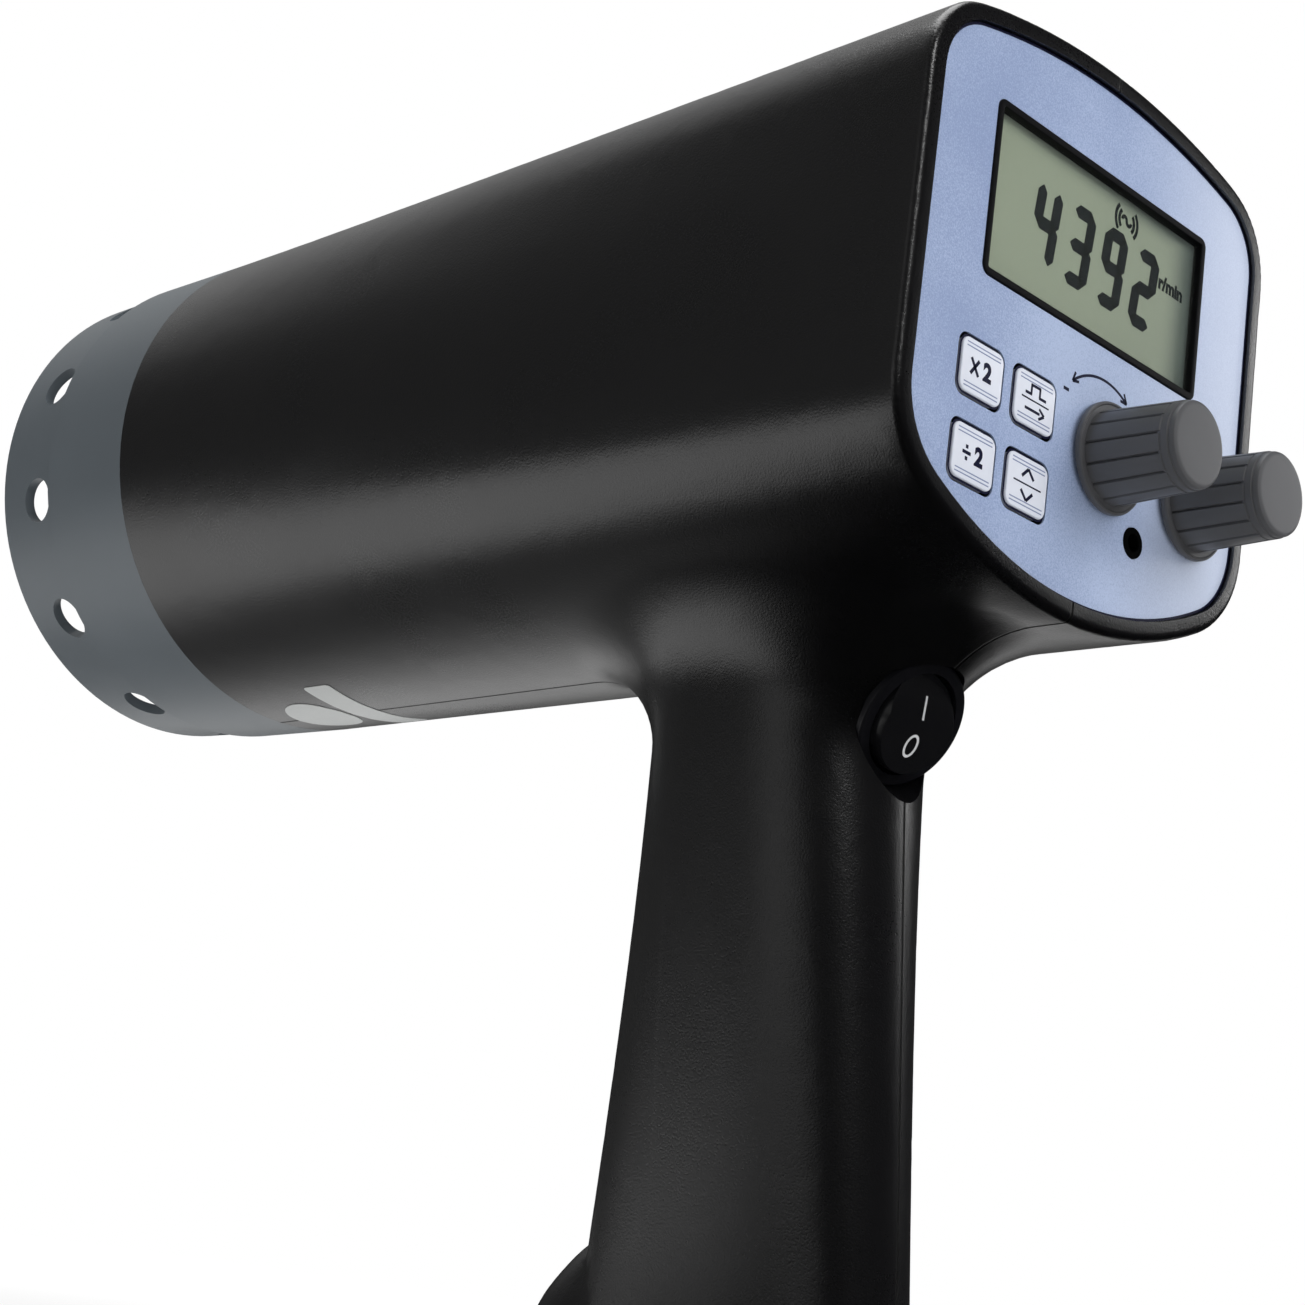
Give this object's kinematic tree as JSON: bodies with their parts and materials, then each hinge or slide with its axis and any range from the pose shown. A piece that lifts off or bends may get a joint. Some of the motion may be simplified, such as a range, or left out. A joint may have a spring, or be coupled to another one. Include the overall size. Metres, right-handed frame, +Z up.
{
  "type": "xenon stroboscope",
  "caption": "Hand-held xenon stroboscope: round vented lamp hood, moulded two-half body with standing handle, rear panel with display, keys and speed knobs.",
  "frame": {"origin": "centre of the foot's underside, on the parting plane of the two housing halves", "axes": "+X the way the flash goes, +Y the user's left, +Z up"},
  "size_m": [0.309, 0.12, 0.265],
  "materials": {
    "body": "satin, finely textured moulding",
    "hood": "satin",
    "lens": "clear",
    "seal": "matte",
    "dark_metal": "dark plated",
    "reflector": "polished",
    "tube_glass": "clear",
    "ceramic": "matte",
    "board": "solder mask",
    "capacitor": "sleeved",
    "resin": "potted",
    "core": "laminated",
    "winding": "enamelled copper under tape",
    "panel_back": "satin",
    "overlay": "fine speckle",
    "display_frame": "satin",
    "pane": "clear",
    "lcd": "grey-green",
    "light_plastic": "white",
    "switch_plastic": "satin",
    "key": "satin",
    "pot": "plated",
    "steel": "plated",
    "knob": "satin",
    "knob_cap": "satin",
    "jack": "satin",
    "rocker": "glossy",
    "brass": "plated"
  },
  "bodies": {
    "housing": {"left_shell": "body", "right_shell": "body", "lens_hood": "hood", "front_lens": "lens", "lens_seal": "seal", "lens_retainer": "dark_metal", "reflector": "reflector", "xenon_tube": "tube_glass", "lamp_socket": "ceramic", "lamp_board": "board", "power_board": "board", "flash_capacitors": "capacitor", "trigger_coil": "resin", "transformer_core": "core", "transformer_winding": "winding", "rear_panel": "panel_back", "panel_overlay": "overlay", "display_frame": "display_frame", "display_window": "pane", "lcd_glass": "lcd", "lcd_carrier": "light_plastic", "control_board": "board", "key_switches": "switch_plastic", "fine_pot": "pot", "coarse_pot": "pot", "pot_washers": "steel", "pot_nuts": "steel", "trigger_jack": "jack", "switch_housing": "switch_plastic", "switch_terminals": "brass", "case_screws": "steel", "mains_inlet": "switch_plastic", "inlet_pins": "brass", "base_cap": "body"},
    "rocker": {"switch_rocker": "rocker"},
    "fine_speed_knob": {"fine_knob": "knob", "fine_knob_cap": "knob_cap", "fine_shaft": "steel"},
    "coarse_speed_knob": {"coarse_knob": "knob", "coarse_knob_cap": "knob_cap", "coarse_shaft": "steel"},
    "times_two_key": {"key_times_two": "key"},
    "divide_two_key": {"key_divide_two": "key"},
    "trigger_key": {"key_trigger": "key"},
    "range_key": {"key_range": "key"}
  },
  "joints": [
    {"name": "power_rocker", "type": "hinge", "parent": "housing", "child": "rocker", "pos_m": [-0.02611, 0, 0.13179], "axis": [0, -1, 0], "range_deg": [0, 24]},
    {"name": "fine_speed", "type": "hinge", "parent": "housing", "child": "fine_speed_knob", "pos_m": [-0.061, -0.0072, 0.1825], "axis": [-1, 0, 0], "range_deg": [-150, 150]},
    {"name": "coarse_speed", "type": "hinge", "parent": "housing", "child": "coarse_speed_knob", "pos_m": [-0.061, -0.0363, 0.1825], "axis": [-1, 0, 0], "range_deg": [-150, 150]},
    {"name": "press_times_two", "type": "slide", "parent": "housing", "child": "times_two_key", "axis": [1, 0, 0], "range_m": [0, 0.0004], "stiffness_N_per_m": 900},
    {"name": "press_divide_two", "type": "slide", "parent": "housing", "child": "divide_two_key", "axis": [1, 0, 0], "range_m": [0, 0.0004], "stiffness_N_per_m": 900},
    {"name": "press_trigger", "type": "slide", "parent": "housing", "child": "trigger_key", "axis": [1, 0, 0], "range_m": [0, 0.0004], "stiffness_N_per_m": 900},
    {"name": "press_range", "type": "slide", "parent": "housing", "child": "range_key", "axis": [1, 0, 0], "range_m": [0, 0.0004], "stiffness_N_per_m": 900}
  ]
}
